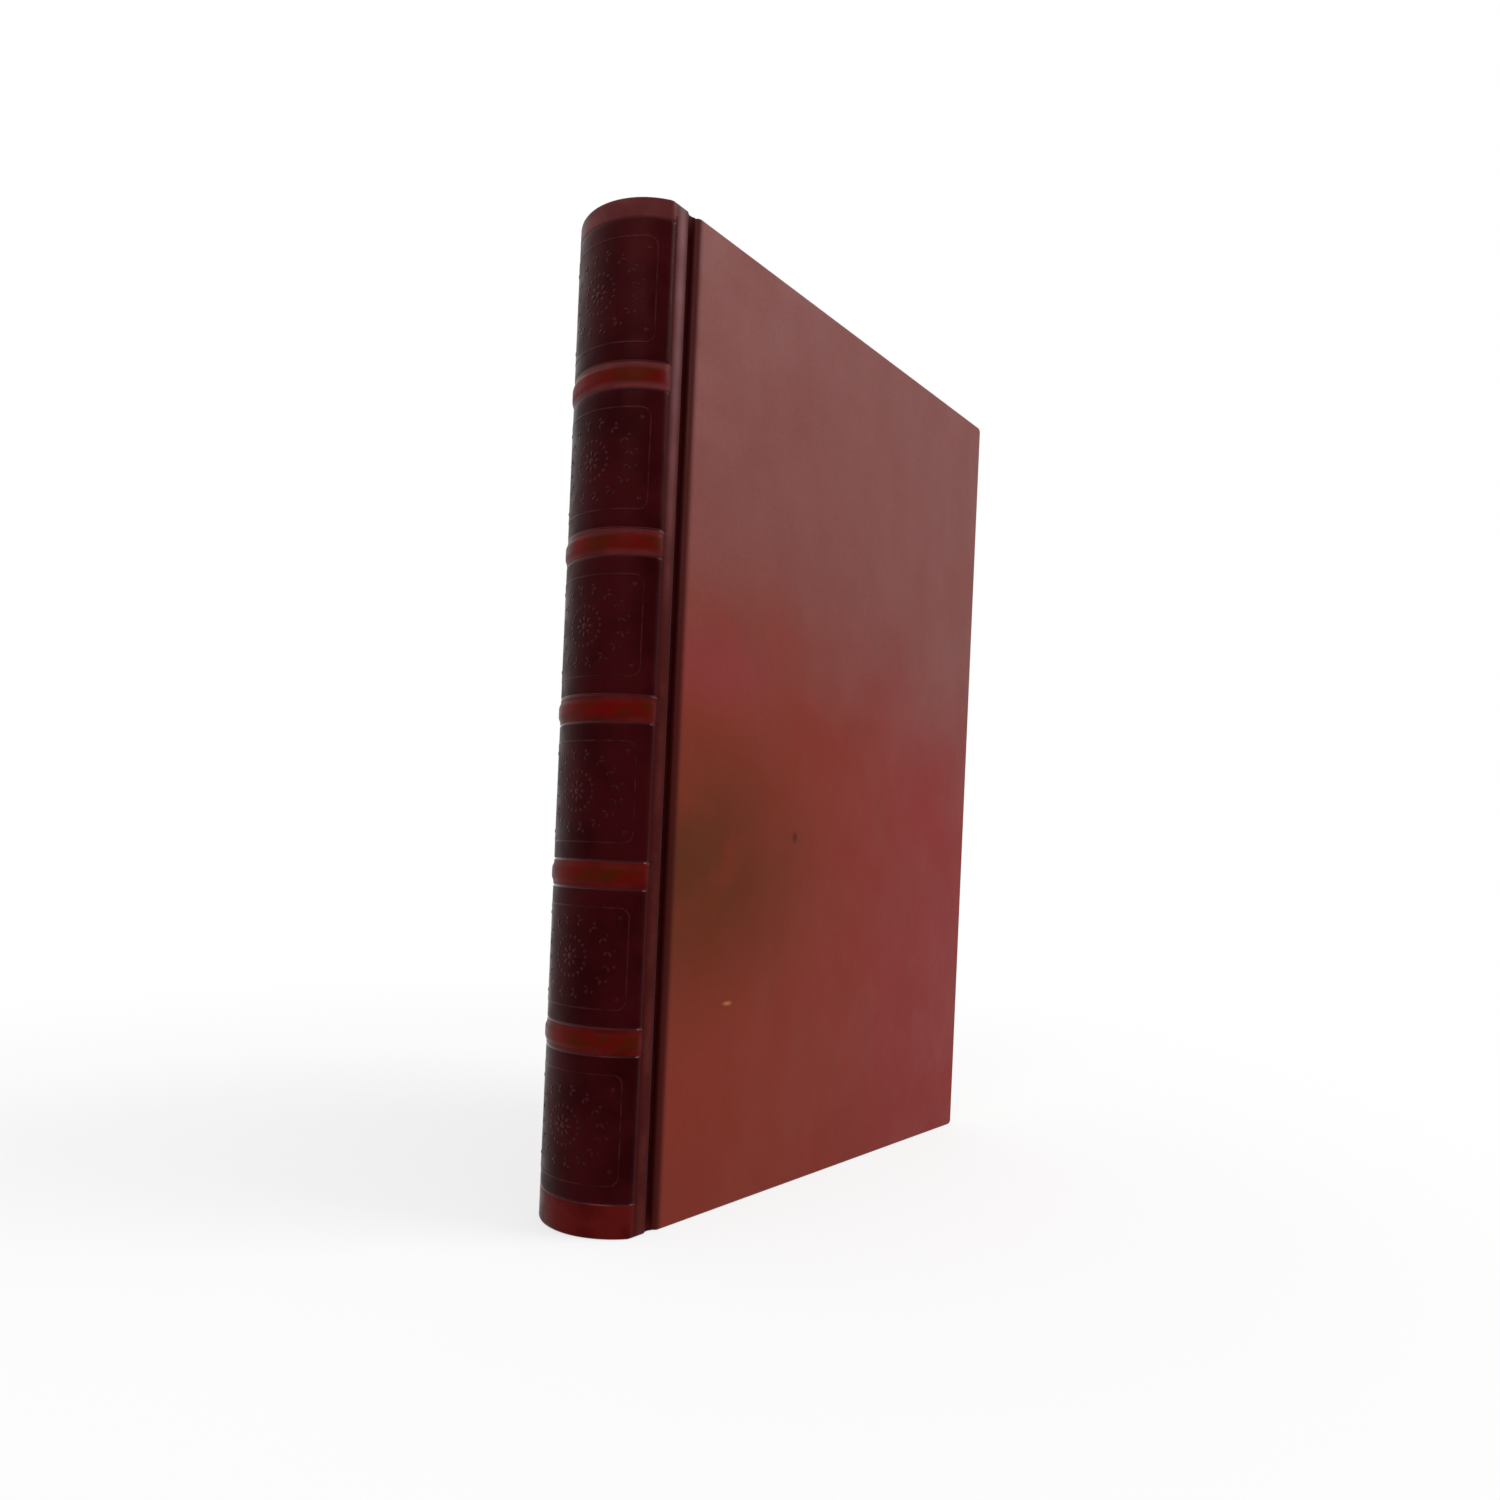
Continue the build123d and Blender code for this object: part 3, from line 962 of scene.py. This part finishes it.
# %% [markdown]
# ## Paper, silk, card and cloth
# The edges of the pages are hundreds of thin sheets, so a fine layering runs along the thickness of the
# book, a little uneven. Endpapers are plain paper with fine fibres and a little foxing. The thread
# alternates in threes of turns, and the card and the cloth lining are hidden, but they get their grain
# and weave all the same.

# %% Paper
def sheet_edges(material, size, uneven):
    """Fine parallel lines along the thickness of the book, bent a little by noise."""
    drift = times(material, noise(material, 14 * mm, detail=3.0, start=0.0, stop=1.0), uneven)
    across = maths(material, "ADD", place_along(material, "Y"), drift)
    line = add(material, "ShaderNodeCombineXYZ", {"Y": across}).outputs["Vector"]
    inputs = {"Vector": line, "Scale": 1 / size, "Detail": 2.0}
    return remap(material, add(material, "ShaderNodeTexNoise", inputs).outputs["Fac"], 0.3, 0.7)


pages, shader = new_finish("pages", Specular_IOR_Level=0.3)
sheets = sheet_edges(pages, 0.16 * mm, 0.3 * mm)
ageing = noise(pages, 30 * mm, detail=3.0)
paper_tone = mix(pages, ageing, screen(226, 212, 182), screen(236, 226, 202))
colour = mix(pages, times(pages, sheets, 0.5), paper_tone, screen(172, 150, 116))
paint(pages, shader, colour, remap(pages, sheets, 0, 1, 0.7, 0.85), ((sheets, 0.06 * mm),))

endpaper, shader = new_finish("endpaper", Specular_IOR_Level=0.3)
fibres = noise(endpaper, 0.7 * mm, (1, 1, 0.45), 4.0, 0.25, 0.75)
foxing = noise(endpaper, 18 * mm, detail=4.0, start=0.58, stop=0.8)
paper_tone = mix(endpaper, fibres, screen(234, 224, 200), screen(239, 230, 208))
colour = mix(endpaper, times(endpaper, foxing, 0.18), paper_tone, screen(206, 180, 138))
paint(endpaper, shader, colour, remap(endpaper, fibres, 0, 1, 0.72, 0.84), ((fibres, 0.02 * mm),))


# %% Silk
def silk(name, dark, bright):
    """Wound thread with a soft sheen."""
    material, shader = new_finish(name, Specular_IOR_Level=0.5, Sheen_Weight=0.4)
    strands = noise(material, 0.12 * mm, (1, 1, 1), 2.0)
    colour = mix(material, strands, screen(*dark), screen(*bright))
    paint(material, shader, colour, remap(material, strands, 0, 1, 0.4, 0.55), ((strands, 0.02 * mm),))
    return material


red_silk = silk("red_silk", (116, 22, 26), (160, 44, 44))
cream_silk = silk("cream_silk", (196, 176, 136), (228, 212, 176))

# %% Card and cloth
card, shader = new_finish("card", Specular_IOR_Level=0.25)
pulp = noise(card, 1.2 * mm, detail=5.0)
colour = mix(card, pulp, screen(146, 128, 102), screen(176, 158, 128))
paint(card, shader, colour, remap(card, pulp, 0, 1, 0.8, 0.92), ((pulp, 0.05 * mm),))

lining, shader = new_finish("lining", Specular_IOR_Level=0.2)
warp = noise(lining, 0.5 * mm, (1, 6, 1), 2.0)
weft = noise(lining, 0.5 * mm, (1, 1, 6), 2.0)
weave = maths(lining, "MAXIMUM", warp, weft)
colour = mix(lining, weave, screen(170, 152, 120), screen(214, 200, 168))
paint(lining, shader, colour, remap(lining, weave, 0, 1, 0.8, 0.9), ((weave, 0.1 * mm),))

# %% [markdown]
# ## Put it together
# Each piece gets its finish, rides on the body that carries it, and stands for the solid that it
# replaces. The strips in the joints and the folds of the endpaper ride on no body, and stay as they
# are modelled, with the book closed.

# %% Give the solids their finishes
def dress(piece, material):
    """Gives a piece one finish."""
    piece.data.materials.clear()
    piece.data.materials.append(material)


finishes = {"pages": pages, "endpaper": endpaper, "lining": lining, "card": card, "silk": red_silk,
            "spine_calf": spine_calf, "cover_calf": cover_calf}
for row in frame["record"]["subparts"]:
    dress(frame["nodes"][row["node"]], finishes[row["material_slot"]])

# %% Ride and replace
def carried(piece, material, slot, body, *replaced):
    """Finish, material slot and body of a new piece, and the solids that it stands for; the material slot is not
    used.
    """
    dress(piece, material)
    if body:
        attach(piece, body)
    if replaced:
        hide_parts(*replaced)
    return piece


carried(spine_skin, spine_calf, "spine_calf", "root", "spine_leather")
for ornament in ornaments:
    carried(ornament, tooled_calf, "spine_calf", "root")
print("Pieces on the spine", 1 + len(ornaments))

# %% Two colours of thread, three turns each
ring_faces = ring_steps * thread_sides
for roll, threads, node in ((head_roll, head_threads, "headband"), (tail_roll, tail_threads, "tailband")):
    carried(roll, cream_silk, "silk", "root", node)
    carried(threads, red_silk, "silk", "root")
    threads.data.materials.append(cream_silk)
    for face in threads.data.polygons:
        face.material_index = (face.index // ring_faces) // 3 % 2
    print("Turns on the", node, len(threads.data.polygons) // ring_faces)

# %% Covers, and the strips in the joints
for side, skin, joint, fold_piece in (
    ("front_cover", front_cover_skin, front_joint_leather, front_endpaper_fold),
    ("rear_cover", rear_cover_skin, rear_joint_leather, rear_endpaper_fold),
):
    carried(skin, cover_calf, "cover_calf", side, side + "_leather")
    carried(joint, shaded_joint_calf, "spine_calf", None)
    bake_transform(joint)
    carried(fold_piece, endpaper, "endpaper", None)
    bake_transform(fold_piece)
print("Strips bend between x =", [round(x / mm, 2) for x in (groove_x, cover_x)], "mm")

# %% [markdown]
# ## Floor and light
# The floor and the world are white to the camera and to reflections, and the lamps stay at a plain level,
# at which a colour shows about as it is written. Near the book the floor keeps some of its own shading,
# so that a faint shadow stays. A broad lamp stands to the right, high, so that the cover has some soft
# sheen near the head, on top of the sheen painted into its colour, and a smaller one to the left lights
# the round of the spine.

# %% Floor
def looked_at(owner):
    """1 for a ray from the camera, straight, reflected or through glass, and 0 for light on its way."""
    rays = add(owner, "ShaderNodeLightPath").outputs
    seen = maths(owner, "MAXIMUM", rays["Is Camera Ray"], rays["Is Glossy Ray"])
    return maths(owner, "MAXIMUM", seen, rays["Is Transmission Ray"])


floor_half = 6
floor = begin_sheet("floor", (0, 0, 0), (2 * floor_half, 2 * floor_half, 1), (0, 0, 0))
end(floor)
floor_white, shader = new_finish(
    "floor_white", Base_Color=(0.97, 0.97, 0.97, 1), Roughness=1.0, Specular_IOR_Level=0.0
)
shadow_from, shadow_to = 0.1, 0.5
distance = length(floor_white, spot(floor_white))
fade = remap(floor_white, distance, shadow_from, shadow_to, 0.68, 1.0)
share = times(floor_white, looked_at(floor_white), fade)
white = add(floor_white, "ShaderNodeEmission", {"Color": (1, 1, 1, 1), "Strength": 1.0}).outputs["Emission"]
shaders = {0: share, 1: shader.outputs["BSDF"], 2: white}
both = add(floor_white, "ShaderNodeMixShader", shaders).outputs["Shader"]
link(floor_white, both, floor_white.node_tree.nodes["Material Output"], "Surface")
dress(floor, floor_white)
print("Floor reaches", floor_half, "m each way")

# %% World
world = bpy.data.worlds.new("studio")
bpy.context.scene.world = world
world.use_nodes = True
background = world.node_tree.nodes["Background"]
background.inputs["Color"].default_value = (1, 1, 1, 1)
as_light, as_seen = 0.6, 1.0
link(world, remap(world, looked_at(world), 0, 1, as_light, as_seen), background, "Strength")
print("World is", as_light, "as light and", as_seen, "as seen")


# %% Lamps
def lamp(name, place, aim, size, power):
    """A square soft lamp that shines at a point."""
    data = bpy.data.lights.new(name, "AREA")
    data.size = size
    data.energy = power
    piece = bpy.data.objects.new(name, data)
    bpy.context.scene.collection.objects.link(piece)
    piece.location = place
    piece.rotation_euler = (Vector(aim) - Vector(place)).to_track_quat("-Z", "Y").to_euler()
    print("Lamp", name, "of", power, "W and", size, "m")


lamp("key", (0.75, -1.1, 1.3), (0, 0, 0.12), 0.9, 14)
lamp("fill", (-1.3, -0.5, 0.9), spine_middle, 0.8, 6)
bpy.context.scene.view_settings.view_transform = "Standard"
